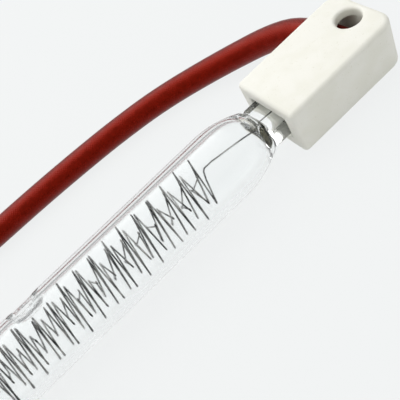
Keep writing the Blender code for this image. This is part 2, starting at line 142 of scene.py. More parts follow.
class Surface:
    """A material in the making: its Principled shader and the patterns that feed it."""

    def __init__(self, name: str, **values: object) -> None:
        """Makes the material.

        Args:
            name: The material's name.
            values: Constants for the shader's own sockets, with underscores for spaces.
        """
        self.material = bpy.data.materials.new(name)
        self.material.use_nodes = True
        self.tree = self.material.node_tree
        self.shader = self.tree.nodes["Principled BSDF"]
        for key, value in values.items():
            self.shader.inputs[key.replace("_", " ")].default_value = value

    def patches(self, size: float, detail: float = 3.0, roughness: float = 0.5) -> Socket:
        """Random patches on Object coordinates.

        Args:
            size: The size of the largest patches.
            detail: How many finer layers they have.
            roughness: How strong the finer layers are.

        Returns:
            The pattern, about 0.3 to 0.7.
        """
        place = add_node(self.tree, "TexCoord").outputs["Object"]
        values = {"Vector": place, "Detail": detail, "Roughness": roughness}
        values["Scale"] = 1 / (size * MM)
        return add_node(self.tree, "TexNoise", values).outputs["Fac"]

    def mix(self, share: Socket, low: object, high: object) -> Socket:
        """Mixes two colours, or sockets that have them, by a share."""
        values = {"Factor": share, 6: low, 7: high}
        return add_node(self.tree, "Mix", values, data_type="RGBA").outputs[2]

    def blend(self, pattern: Socket, low: str, high: str) -> Socket:
        """Blends two hex colours: up to 0.35 of the pattern is the first, from 0.65 the second."""
        share = map_range(self.tree, pattern, (0.35, 0.65), (0.0, 1.0))
        return self.mix(share, srgb(low), srgb(high))

    def colour(self, pattern: Socket, low: str, high: str) -> None:
        """Lets the colour follow a pattern, from one hex colour to the other."""
        self.feed("Base Color", self.blend(pattern, low, high))

    def roughen(self, pattern: Socket, low: float, high: float) -> None:
        """Lets the roughness follow a pattern, between its usual values of 0.3 and 0.7."""
        self.feed("Roughness", map_range(self.tree, pattern, (0.3, 0.7), (low, high)))

    def relief(self, height: Socket, depth: float, strength: float) -> None:
        """Raises the surface by a pattern, whose full range stands as high as the depth."""
        values = {"Strength": strength, "Distance": depth * MM, "Height": height}
        self.feed("Normal", add_node(self.tree, "Bump", values).outputs["Normal"])

    def feed(self, socket: str, value: Socket) -> None:
        """Links a pattern to one of the shader's sockets."""
        self.tree.links.new(value, self.shader.inputs[socket])


@dataclass(frozen=True)
class FusedQuartz:
    """Fused quartz, drawn and flame-worked, which leaves it colourless and smooth as water."""

    tint: str = "#FEFFFF"
    shine: str = "#858585"
    index: float = 1.458
    softness: float = 0.1

    def build(self) -> Material:
        """Makes the material.

        Returns:
            The material.
        """
        return Surface(
            "fused_quartz_flame_worked",
            Base_Color=srgb(self.tint),
            Roughness=self.softness,
            IOR=self.index,
            Specular_Tint=srgb(self.shine),
            Transmission_Weight=1.0,
        ).material


@dataclass(frozen=True)
class ResistanceWire:
    """Iron-chromium-aluminium wire, drawn and fired once: a grey oxide skin with a dull shine."""

    dark: str = "#0F0F10"
    light: str = "#8F8E8B"

    def build(self) -> Material:
        """Makes the material.

        Returns:
            The material.
        """
        surface = Surface("resistance_wire_fired", Metallic=1.0)
        # Thicker and thinner oxide, in patches as long as a strand across the tube
        oxide = surface.patches(size=3.0)
        surface.colour(oxide, self.dark, self.light)
        surface.roughen(oxide, low=0.45, high=0.28)
        return surface.material


@dataclass(frozen=True)
class SteatiteCeramic:
    """Steatite, dry-pressed and fired without a glaze: white, chalky and a little warm."""

    light: str = "#F5F4EB"
    shade: str = "#F1F0E5"
    pore: str = "#E9E7DA"

    def build(self) -> Material:
        """Makes the material.

        Returns:
            The material.
        """
        surface = Surface("steatite_unglazed")
        # Clouds of warmer body some millimetres wide, and pores drawn 0.3 mm wide so they show
        body = surface.blend(surface.patches(size=4.0), self.shade, self.light)
        grains = surface.patches(size=0.3, detail=2.0)
        spots = map_range(surface.tree, grains, (0.24, 0.36), (0.0, 1.0))
        surface.feed("Base Color", surface.mix(spots, srgb(self.pore), body))
        surface.roughen(grains, low=0.72, high=0.58)
        # The tooth of the pressed skin
        tooth = surface.patches(size=0.35, detail=5.0, roughness=0.6)
        surface.relief(tooth, depth=0.02, strength=0.25)
        return surface.material


@dataclass(frozen=True)
class SiliconeSleeving:
    """Braided glass fibre under a red silicone coat: satin, with the braid's ribs through it."""

    body: str = "#660901"
    valley: str = "#540701"
    sheen: str = "#FF5038"
    length: float = 138.2
    rib_pitch: float = 0.5
    threads_round: int = 26

    def build(self) -> Material:
        """Makes the material.

        Returns:
            The material.
        """
        surface = Surface(
            "silicone_coated_braid", Specular_IOR_Level=1.0, Specular_Tint=srgb(self.sheen)
        )
        tree = surface.tree
        place = add_node(tree, "TexCoord").outputs["UV"]
        split = add_node(tree, "SeparateXYZ", {"Vector": place}).outputs
        # Two sets of threads that cross, drawn twice as wide as the real ones so they show
        along = calculate(tree, "MULTIPLY", split["X"], math.tau * self.length / self.rib_pitch)
        around = calculate(tree, "MULTIPLY", split["Y"], math.tau * self.threads_round)
        one_way = calculate(tree, "SINE", calculate(tree, "ADD", along, around))
        other_way = calculate(tree, "SINE", calculate(tree, "SUBTRACT", along, around))
        braid = calculate(tree, "MAXIMUM", one_way, other_way)
        # The coat fills the braid more in some places than in others
        coat = surface.patches(size=1.2, detail=5.0, roughness=0.65)
        bare = map_range(tree, coat, (0.35, 0.7), (0.1, 1.0))
        surface.relief(calculate(tree, "MULTIPLY", braid, bare), depth=0.05, strength=0.5)
        surface.colour(coat, self.valley, self.body)
        surface.roughen(coat, low=0.3, high=0.42)
        return surface.material


@dataclass(frozen=True)
class WorkedMetal:
    """A metal with the fine marks of how its surface was made."""

    name: str
    light: str
    dark: str
    roughness: float
    marks: float

    def build(self) -> Material:
        """Makes the material.

        Returns:
            The material.
        """
        surface = Surface(self.name, Metallic=1.0)
        marks = surface.patches(self.marks, detail=5.0, roughness=0.6)
        surface.colour(marks, self.dark, self.light)
        surface.roughen(marks, self.roughness + 0.12, self.roughness - 0.06)
        surface.relief(marks, depth=0.01, strength=0.3)
        return surface.material


@dataclass(frozen=True)
class PottingCement:
    """Potting cement, filled by hand and dried in the air: grey-buff, sandy and matt."""

    light: str = "#E6E0C6"
    dark: str = "#CFC9A9"

    def build(self) -> Material:
        """Makes the material.

        Returns:
            The material.
        """
        surface = Surface("potting_cement_dried", Roughness=0.9)
        sand = surface.patches(size=0.4, detail=6.0, roughness=0.7)
        surface.colour(sand, self.dark, self.light)
        surface.relief(sand, depth=0.1, strength=0.8)
        return surface.material


# Drawn molybdenum, etched before sealing: grey and satin
MOLYBDENUM = WorkedMetal("molybdenum_etched", "#9A9A9C", "#7C7C80", roughness=0.36, marks=0.5)
# Steel tube with bright nickel, marked by the crimping tool
NICKEL_PLATE = WorkedMetal("nickel_plated_steel", "#C9C5BC", "#A9A498", roughness=0.28, marks=0.9)
# Fine nickel-clad copper strands, bright where they were just stripped
NICKEL_STRANDS = WorkedMetal("nickel_clad_strands", "#CFCAC0", "#A8A297", roughness=0.3, marks=0.4)
# Brass strip with a dipped tin coat: pale, with soft clouds
TINNED_BRASS = WorkedMetal("tinned_brass_stamped", "#C8C5BA", "#A6A194", roughness=0.34, marks=1.5)


def add_object(name: str, data: bpy.types.ID) -> Piece:
    """Adds an object for a mesh, curve, camera or light.

    Args:
        name: The object's name.
        data: The mesh, curve, camera or light.

    Returns:
        The new object.
    """
    piece = bpy.data.objects.new(name, data)
    bpy.context.scene.collection.objects.link(piece)
    return piece


def pick(piece: Piece) -> None:
    """Makes this piece the only one selected and the active one.

    Args:
        piece: The piece.
    """
    bpy.ops.object.select_all(action="DESELECT")
    piece.select_set(True)
    bpy.context.view_layer.objects.active = piece


def new_piece(name: str) -> Piece:
    """Takes up the primitive that was just added.

    Args:
        name: The name it gets.

    Returns:
        The primitive, with its place in its mesh.
    """
    piece = bpy.context.object
    piece.name = name
    pick(piece)
    bpy.ops.object.transform_apply(location=True, rotation=True, scale=True)
    return piece


def add_block(name: str, low: Vector, high: Vector) -> Piece:
    """Adds a cube at the size and place of a box, between its lowest and highest corners."""
    bpy.ops.mesh.primitive_cube_add(size=MM, location=(low + high) / 2 * MM, scale=high - low)
    return new_piece(name)


def add_rod(name: str, start: Vector, end: Vector, radius: float) -> Piece:
    """Adds a cylinder between two points.

    Args:
        name: The new piece's name.
        start: The centre of one end.
        end: The centre of the other end.
        radius: The cylinder's radius.

    Returns:
        The new piece.
    """
    bpy.ops.mesh.primitive_cylinder_add(
        vertices=64,
        radius=radius * MM,
        depth=(end - start).length * MM,
        location=(start + end) / 2 * MM,
        rotation=(end - start).to_track_quat("Z", "Y").to_euler(),
    )
    return new_piece(name)


def add_skin(name: str, rings: list[Ring]) -> Piece:
    """Extrudes a circle from ring to ring into a closed skin.

    Args:
        name: The new piece's name.
        rings: The rings, with as many points each.

    Returns:
        The new piece, with its faces outwards.
    """
    bpy.ops.mesh.primitive_circle_add(vertices=len(rings[0]), radius=MM, fill_type="NGON")
    piece = new_piece(name)
    bpy.ops.object.mode_set(mode="EDIT")
    bpy.ops.mesh.select_all(action="SELECT")
    mesh = bmesh.from_edit_mesh(piece.data)
    numbers = {tuple(point.co): number for number, point in enumerate(mesh.verts)}
    for turn, ring in enumerate(rings):
        if turn:
            bpy.ops.mesh.extrude_region_move()
            mesh = bmesh.from_edit_mesh(piece.data)
        newest = [point for point in mesh.verts if point.select]
        order = [numbers[tuple(point.co)] for point in newest]
        for point, number in zip(newest, order):
            point.co = ring[number] * MM
        numbers = {tuple(point.co): number for point, number in zip(newest, order)}
        bmesh.update_edit_mesh(piece.data)
    bpy.ops.mesh.select_all(action="SELECT")
    bpy.ops.mesh.normals_make_consistent(inside=False)
    bpy.ops.object.mode_set(mode="OBJECT")
    return piece


def add_wire(name: str, points: Ring, radius: float, resolution: int) -> Piece:
    """Makes a round wire along points, with a UV map along and around it.

    Args:
        name: The new piece's name.
        points: The wire's centre line.
        radius: The wire's radius.
        resolution: The bevel resolution of the curve that it is made from.

    Returns:
        The new piece.
    """
    data = bpy.data.curves.new(name, "CURVE")
    data.dimensions = "3D"
    data.bevel_depth = radius * MM
    data.bevel_resolution = resolution
    data.use_fill_caps = True
    spline = data.splines.new("POLY")
    spline.points.add(len(points) - 1)
    for point, place in zip(spline.points, points):
        point.co = (*place * MM, 1.0)
    spline.use_smooth = True
    pick(add_object(name, data))
    bpy.ops.object.convert(target="MESH")
    piece = bpy.context.object
    bpy.ops.object.mode_set(mode="EDIT")
    bpy.ops.mesh.select_all(action="SELECT")
    bpy.ops.mesh.remove_doubles(threshold=0.0001 * MM)
    bpy.ops.mesh.normals_make_consistent(inside=False)
    bpy.ops.object.mode_set(mode="OBJECT")
    return piece


def cut(piece: Piece, cutter: Piece) -> None:
    """Cuts one piece with another.

    Args:
        piece: The piece that is cut.
        cutter: The piece that it loses, which is removed.
    """
    pick(piece)
    modifier = piece.modifiers.new("cut", "BOOLEAN")
    modifier.object = cutter
    modifier.operation = "DIFFERENCE"
    modifier.solver = "EXACT"
    bpy.ops.object.modifier_apply(modifier=modifier.name)
    bpy.data.objects.remove(cutter)


def join(name: str, parts: list[Piece]) -> Piece:
    """Joins parts into one piece.

    Args:
        name: The piece's name.
        parts: The parts, of which the first takes up the others.

    Returns:
        The piece.
    """
    pick(parts[0])
    for part in parts[1:]:
        part.select_set(True)
    bpy.ops.object.join()
    parts[0].name = name
    return parts[0]


def round_edges(piece: Piece, wanted: Callable[[Edge], bool], width: float, segments: int) -> None:
    """Rounds the wanted edges.

    Args:
        piece: The mesh to edit.
        wanted: Says whether an edge is rounded.
        width: How far the rounding reaches.
        segments: How many faces it has across.
    """
    pick(piece)
    bpy.ops.object.mode_set(mode="EDIT")
    bpy.ops.mesh.select_mode(type="EDGE")
    bpy.ops.mesh.select_all(action="DESELECT")
    mesh = bmesh.from_edit_mesh(piece.data)
    for edge in mesh.edges:
        edge.select_set(wanted(edge))
    bmesh.update_edit_mesh(piece.data)
    bpy.ops.mesh.bevel(offset=width * MM, segments=segments, profile=0.5, affect="EDGES")
    bpy.ops.object.mode_set(mode="OBJECT")


def shade_smooth(piece: Piece, angle: float = 35.0) -> None:
    """Shades the piece smooth, apart from edges sharper than the angle."""
    pick(piece)
    bpy.ops.object.shade_smooth_by_angle(angle=math.radians(angle))


def is_sharp(edge: Edge) -> bool:
    """Says whether two faces meet at an edge by more than 40 degrees."""
    return edge.calc_face_angle(0.0) > math.radians(40)


def upright_edges(place: float, side: int) -> Callable[[Edge], bool]:
    """A test for the upright edges on one side of a place.

    Args:
        place: The place along X.
        side: 1 for the edges past it, and -1 for those before it.

    Returns:
        The test, which says whether an edge is one of them.
    """

    def is_one(edge: Edge) -> bool:
        """Says whether an edge stands upright on that side."""
        low, high = sorted((point.co for point in edge.verts), key=lambda point: point.z)
        return (high - low).normalized().z > 0.9 and side * (low.x / MM - place) > 0

    return is_one


def hand_over(piece: Piece, material: Material, slot: str, *nodes: str) -> None:
    """Dresses a new piece, lets it ride and hides the nodes that it replaces.

    Args:
        piece: The finished piece.
        material: Its material.
        slot: Not used.
        nodes: The CAD nodes that it replaces.
    """
    piece.data.materials.clear()
    piece.data.materials.append(material)
    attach(piece, "root")
    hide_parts(*nodes)
    LOG.info("%s: %d faces", piece.name, len(piece.data.polygons))


def deliver(piece: Piece, material: Material, slot: str, node: str) -> dict[End, Piece]:
    """Hands over end a's piece and its copy at end b, each with its end's letter.

    Args:
        piece: The finished piece of end a, which is removed.
        material: Its material.
        slot: The name of a material slot, passed on to hand_over, which doesn't use it.
        node: The CAD node that it replaces, without the end's letter.

    Returns:
        The piece that stands at each end.
    """
    copies = {}
    for end in End:
        copies[end] = add_object(f"{piece.name}_{end.suffix}", piece.data.copy())
        copies[end].data.transform(end.turn)
        hand_over(copies[end], material, slot, f"{node}_{end.suffix}")
    bpy.data.objects.remove(piece)
    return copies


def ring_across(along: float, half_width: float, half_height: float, squareness: float) -> Ring:
    """A ring round the tube's axis.

    Args:
        along: Its place along X.
        half_width: Half its width along Y.
        half_height: Half its height.
        squareness: 2 is an ellipse, and more is squarer.

    Returns:
        The ring's points.
    """
    ring = []
    for number in range(SIDES):
        angle = math.tau * (number + 0.5) / SIDES
        across = math.copysign(abs(math.cos(angle)) ** (2 / squareness), math.cos(angle))
        up = math.copysign(abs(math.sin(angle)) ** (2 / squareness), math.sin(angle))
        ring.append(Vector((along, half_width * across, AXIS_HEIGHT + half_height * up)))
    return ring


def smooth_route(route: Ring, spacing: float) -> Ring:
    """Reads evenly spaced points from the smooth curve through a route.

    Args:
        route: The route's own points.
        spacing: The distance between the points that are read.

    Returns:
        The points, with the route's two ends among them.
    """
    steps = 20
    ends = [2 * route[0] - route[1], *route, 2 * route[-1] - route[-2]]
    fine = []
    for before, start, end, after in zip(ends, ends[1:], ends[2:], ends[3:]):
        for share in shares(steps)[:-1]:
            square = share * share
            cube = square * share
            fine.append(
                (2 * cube - 3 * square + 1) * start
                + (cube - 2 * square + share) * (end - before) / 2
                + (3 * square - 2 * cube) * end
                + (cube - square) * (after - start) / 2
            )
    fine.append(route[-1])
    lengths = [0.0]
    for first, second in zip(fine, fine[1:]):
        lengths.append(lengths[-1] + (second - first).length)
    count = round(lengths[-1] / spacing)
    points = []
    index = 0
    for number in range(count):
        place = lengths[-1] * number / count
        while lengths[index + 1] < place:
            index += 1
        share = (place - lengths[index]) / (lengths[index + 1] - lengths[index])
        points.append(fine[index].lerp(fine[index + 1], share))
    points.append(fine[-1])
    return points


def rounded_bends(points: Ring, reach: float) -> Ring:
    """Rounds the corners of a line.

    Args:
        points: The line's points.
        reach: How far from a corner its bend starts, if the next corner isn't too near.

    Returns:
        The line with five points for each corner.
    """
    most = 0.45
    steps = 4
    line = [points[0]]
    for before, corner, after in zip(points, points[1:], points[2:]):
        back = before - corner
        ahead = after - corner
        start = corner + back * min(most, reach / back.length)
        end = corner + ahead * min(most, reach / ahead.length)
        for share in shares(steps):
            line.append(
                (1 - share) ** 2 * start + 2 * share * (1 - share) * corner + share**2 * end
            )
    line.append(points[-1])
    return line


@dataclass(frozen=True)
class Viewpoint:
    """The camera where the photograph was taken, close above the tube and looking along it."""

    place: Place = (53.38, -61.45, 72.94)
    right: Place = (0.71656, -0.5613, -0.41411)
    down: Place = (-0.69193, -0.49692, -0.52374)
    focal_length: float = 54.0
    nearest: float = 5.0

    def build(self) -> None:
        """Adds the camera and makes it the scene's own."""
        data = bpy.data.cameras.new("photograph")
        data.lens = self.focal_length
        data.clip_start = self.nearest * MM
        camera = add_object("photograph", data)
        right = Vector(self.right).normalized()
        forward = right.cross(Vector(self.down)).normalized()
        down = forward.cross(right)
        turn = Matrix((right, -down, -forward)).transposed().to_4x4()
        camera.matrix_world = Matrix.Translation(Vector(self.place) * MM) @ turn
        bpy.context.scene.camera = camera


@dataclass
class SleevedLead:
    """The red lead: out of the cap's side, down in one bend and along the tube on the floor."""

    radius: float = 2.3
    length: float = 132.0
    exit_from_end: Place = (-5.4, 6.5, 6.04)
    route_from_end: tuple[Place, ...] = (
        (-4.7, 0.9, 5.97), (-4.9, 4.0, 6.0), (-5.6, 7.5, 6.05), (-7.0, 11.4, 5.7),
        (-9.7, 15.2, 4.7), (-13.5, 18.8, 3.5), (-18.5, 22.1, 2.65), (-24.7, 24.8, 2.35),
        (-31.3, 26.7, 2.35), (-39.7, 28.2, 2.35), (-48.7, 29.2, 2.35), (-58.0, 29.9, 2.35),
        (-67.4, 30.3, 2.35), (-79.0, 30.7, 2.35), (-91.0, 31.0, 2.35),
        (-103.5, 31.3, 2.35), (-116.0, 31.5, 2.35), (-128.5, 31.5, 2.35),
    )

    def route(self) -> Ring:
        """The route of lead a."""
        return [Vector((CAP_END, 0, 0)) + Vector(point) for point in self.route_from_end]

    def build(self, ends: dict[End, list[Piece]]) -> None:
        """Args:
            ends: For each end, the strands and the terminal that the lead ends in. Not used.
        """
        red = SiliconeSleeving().build()
        line = smooth_route(self.route(), spacing=1.5)
        sleeving = add_wire("red_lead", line, self.radius, resolution=14)
        shade_smooth(sleeving)
        for end, lead in deliver(sleeving, red, "red_sleeving", "lead").items():
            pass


@dataclass
class TabTerminal:
    """The lead's end: twisted bare strands in a crimped barrel with a flat tab."""

    gap: float = 0.3
    strand_count: int = 7
    strand_radius: float = 0.2
    stripped_length: float = 8.0
    lay_length: float = 7.0
    barrel_radius: float = 1.8
    barrel_length: float = 6.0
    # From deep in the bore to the rim: how far in along the barrel, how far inside its outline
    barrel_rim: tuple[Span, ...] = ((1.4, 0.45), (0.4, 0.45), (0.05, 0.33), (0.0, 0.25))
    barrel_spacing: float = 0.4
    groove_depth: float = 0.45
    groove_radians: float = 0.28
    crimp_depth: float = 0.3
    crimp_length: float = 1.3
    crimp_swell: float = 0.15
    tab_reach: float = 15.0
    tab_width: float = 6.3
    tab_thickness: float = 0.8
    tab_from_barrel: float = 1.6
    tab_edge: float = 0.12
    taper_length: float = 1.4
    neck_share: float = 0.42
    neck_length: float = 1.6
    tip_chamfer: float = 1.1
    hole_radius: float = 0.8
    hole_reach: float = 9.7
    sides: int = 48

    def make_strands(self, start: Vector) -> Piece:
        """Twists the strands round a straight one.

        Args:
            start: Where they leave the sleeving.

        Returns:
            The bundle, as one piece.
        """
        steps = 32
        strands = []
        for number in range(self.strand_count):
            swing = 2 * self.strand_radius if number else 0.0
            points = []
            for share in shares(steps):
                along = self.stripped_length * share
                place = number / (self.strand_count - 1)
                angle = math.tau * (place + along / self.lay_length)
                across = Vector((0, math.cos(angle), math.sin(angle))) * swing
                points.append(start + Vector((-along, 0, 0)) + across)
            strand = add_wire(f"strand_{number}", points, self.strand_radius, resolution=2)
            strands.append(strand)
        bundle = join("stripped_strands", strands)
        shade_smooth(bundle)
        return bundle

    def barrel_ring(self, start: Vector, along: float, inset: float) -> Ring:
        """One ring of the barrel, whose rolled-in wings meet in a groove on top.

        Args:
            start: The middle of the barrel's mouth.
            along: How far the ring is from the mouth.
            inset: How far inside the barrel's outline it lies.

        Returns:
            The ring's points.
        """
        squeezed = math.exp(-(((along - self.barrel_length / 2) / self.crimp_length) ** 2))
        ring = []
        for number in range(self.sides):
            angle = math.tau * (number + 0.5) / self.sides
            from_top = math.remainder(angle - math.pi / 2, math.tau)
            radius = self.barrel_radius - inset - self.crimp_depth * squeezed
            if inset == 0:
                radius -= self.groove_depth * math.exp(-((from_top / self.groove_radians) ** 2))
            across = math.cos(angle) * (radius + self.crimp_swell * squeezed)
            ring.append(start + Vector((-along, across, radius * math.sin(angle))))
        return ring

    def make_barrel(self, start: Vector) -> Piece:
        """Rolls the barrel: out of its bore, over the rim, along the outside and in again.

        Args:
            start: The middle of the barrel's mouth.

        Returns:
            The barrel.
        """
        count = round(self.barrel_length / self.barrel_spacing) - 1
        outside = [((step + 0.5) * self.barrel_spacing, 0.0) for step in range(count)]
        back = [(self.barrel_length - along, inset) for along, inset in self.barrel_rim[::-1]]
        rings = [self.barrel_ring(start, *place) for place in [*self.barrel_rim, *outside, *back]]
        barrel = add_skin("barrel", rings)
        shade_smooth(barrel, angle=50)
        return barrel

    def make_tab(self, start: Vector) -> Piece:
        """Stamps the flat tab, with its neck drawn in to the barrel.

        Args:
            start: The middle of the barrel's mouth.

        Returns:
            The tab.
        """
        under = start.z - self.barrel_radius
        root = start.x - self.barrel_length
        tip = start.x - self.tab_reach
        low = Vector((tip, start.y - self.tab_width / 2, under))
        neck = root - self.tab_from_barrel
        high = Vector((neck, start.y + self.tab_width / 2, under + self.tab_thickness))
        tab = add_block("tab", low, high)
        pick(tab)
        bpy.ops.object.mode_set(mode="EDIT")
        mesh = bmesh.from_edit_mesh(tab.data)
        for face in mesh.faces:
            face.select_set(face.normal.x > 0.9)
        bmesh.update_edit_mesh(tab.data)
        for length, share in ((self.taper_length, self.neck_share), (self.neck_length, 1)):
            bpy.ops.mesh.extrude_region_move(TRANSFORM_OT_translate={"value": (length * MM, 0, 0)})
            bpy.ops.transform.resize(value=(1, share, 1))
        bpy.ops.object.mode_set(mode="OBJECT")
        round_edges(tab, upright_edges((tip + root) / 2, -1), self.tip_chamfer, segments=1)
        round_edges(tab, is_sharp, self.tab_edge, segments=2)
        place = Vector((start.x - self.hole_reach, start.y, under))
        rise = Vector((0, 0, self.tab_thickness + PAST))
        cut(tab, add_rod("hole", place - rise, place + rise, self.hole_radius))
        shade_smooth(tab)
        return tab

    def build(self, route: Ring) -> dict[End, list[Piece]]:
        """Makes the strands and terminals of the two leads.

        Args:
            route: The route of lead a.

        Returns:
            For each end, its strands and its terminal.
        """
        start = route[-1] + (route[-1] - route[-2]).normalized() * self.gap
        bundle = self.make_strands(start)
        strands = deliver(bundle, NICKEL_STRANDS.build(), "nickel_strands", "strands")
        terminal = join("tab_terminal", [self.make_barrel(start), self.make_tab(start)])
        terminals = deliver(terminal, TINNED_BRASS.build(), "tinned_brass", "terminal")
        return {end: [strands[end], terminals[end]] for end in End}


@dataclass
class QuartzEnvelope:
    """The glass: drawn tube, two domes, two flat press seals and the tip-off, all in one."""

    radius: float = 6.0
    wall: float = 1.1
    dome_length: float = 7.7
    dome_rings: int = 20
    shoulder_radius: float = 4.1
    shoulder_length: float = 1.3
    shoulder_rings: int = 10
    # How soon the shoulder is as narrow, as flat and as square as the seal
    narrowing: float = 2.4
    flattening: float = 1.1
    squaring: float = 2.2
    dome_floor: float = -0.8
    dome_squareness: float = 3.4
    floor_rings: int = 24
    # The share of the bore's radius that is left open at the floor's middle
    floor_middle: float = 0.02
    seal_width: float = 7.7
    seal_thickness: float = 4.1
    seal_squareness: float = 5.0
    seal_bare: float = 3.3
    seal_in_cap: float = 7.7
    tip_off_width: float = 5.3
    tip_off_height: float = 1.15
    tip_off_dip: float = 0.08
    tip_off_steepness: float = 1.6
    # How many close rings there are on each side of its middle, and the share of its length that
    # they reach to
    tip_off_rings: int = 20
    tip_off_reach: float = 0.6

    @property
    def shoulder(self) -> float:
        """Where the round dome ends and the seal's shoulder starts."""
        return CAP_FRONT - self.seal_bare

    def outside(self) -> list[Ring]:
        """Shapes the outside at end a.

        Returns:
            Its rings, from the dome's start to the end of the seal.
        """
        rings = []
        for share in shares(self.dome_rings):
            radius = self.radius - (self.radius - self.shoulder_radius) * share**2
            along = self.shoulder - self.dome_length * (1 - share)
            rings.append(ring_across(along, radius, radius, squareness=2))
        half_width = self.seal_width / 2
        half_height = self.seal_thickness / 2
        for share in shares(self.shoulder_rings)[1:]:
            narrowed = min(1.0, self.narrowing * share)
            flattened = math.sin(share * math.pi / 2) ** self.flattening
            rings.append(
                ring_across(
                    self.shoulder + self.shoulder_length * share,
                    self.shoulder_radius + (half_width - self.shoulder_radius) * narrowed,
                    self.shoulder_radius + (half_height - self.shoulder_radius) * flattened,
                    2 + (self.seal_squareness - 2) * share**self.squaring,
                )
            )
        end = CAP_FRONT + self.seal_in_cap
        rings.append(ring_across(end, half_width, half_height, self.seal_squareness))
        return rings

    def inside(self) -> list[Ring]:
        """Shapes the inside at end a.

        Returns:
            Its rings, from the dome's start to its floor.
        """
        bore = self.radius - self.wall
        length = self.dome_length - self.dome_floor + self.wall
        start = self.shoulder - self.dome_floor - length
        rings = []
        for step in shares(self.floor_rings):
            share = math.sin(step * math.pi / 2)
            left = max(self.floor_middle**2, 1 - share**self.dome_squareness)
            radius = bore * math.sqrt(left)
            along = start + length * share
            rings.append(ring_across(along, radius, radius, squareness=2))
        return rings

    def tip_off(self, radius: float, height: float) -> list[Ring]:
        """Close rings of the straight tube, with the bump of the tip-off in them.

        Args:
            radius: The skin's radius.
            height: How far the bump stands inwards.

        Returns:
            The rings.
        """
        centre = CAP_FRONT - TIP_OFF_FROM_CAP
        rings = []
        for number in range(-self.tip_off_rings, self.tip_off_rings + 1):
            along = number / self.tip_off_rings * self.tip_off_reach * TIP_OFF_LENGTH
            ring = []
            for side in range(SIDES):
                angle = math.tau * (side + 0.5) / SIDES
                off = math.remainder(angle - math.radians(TIP_OFF_ANGLE), math.tau)
                across = 2 * off * radius / self.tip_off_width
                share = max(0.0, 1 - across**2 - (2 * along / TIP_OFF_LENGTH) ** 2)
                flank = min(1.0, self.tip_off_steepness * share)
                reach = radius - height * flank**2 * (3 - 2 * flank)
                place = Vector((0, reach * math.cos(angle), reach * math.sin(angle)))
                ring.append(place + Vector((centre + along, 0, AXIS_HEIGHT)))
            rings.append(ring)
        return rings

    @staticmethod
    def both_ends(rings: list[Ring]) -> list[Ring]:
        """The mirror images of end a's rings, in the order from end b to the middle."""
        return [[Vector((-point.x, point.y, point.z)) for point in ring] for ring in rings[::-1]]

    def build(self) -> None:
        """Makes the glass and hollows it."""
        outside = self.outside()
        inside = self.inside()
        middle = self.tip_off(self.radius, self.tip_off_dip)
        glass = add_skin("clear_quartz_tube", self.both_ends(outside) + middle + outside)
        middle = self.tip_off(self.radius - self.wall, self.tip_off_height)
        bore = add_skin("bore", self.both_ends(inside) + middle + inside)
        cut(glass, bore)
        shade_smooth(glass, angle=40)
        hand_over(glass, FusedQuartz().build(), "clear_quartz", "quartz_envelope")


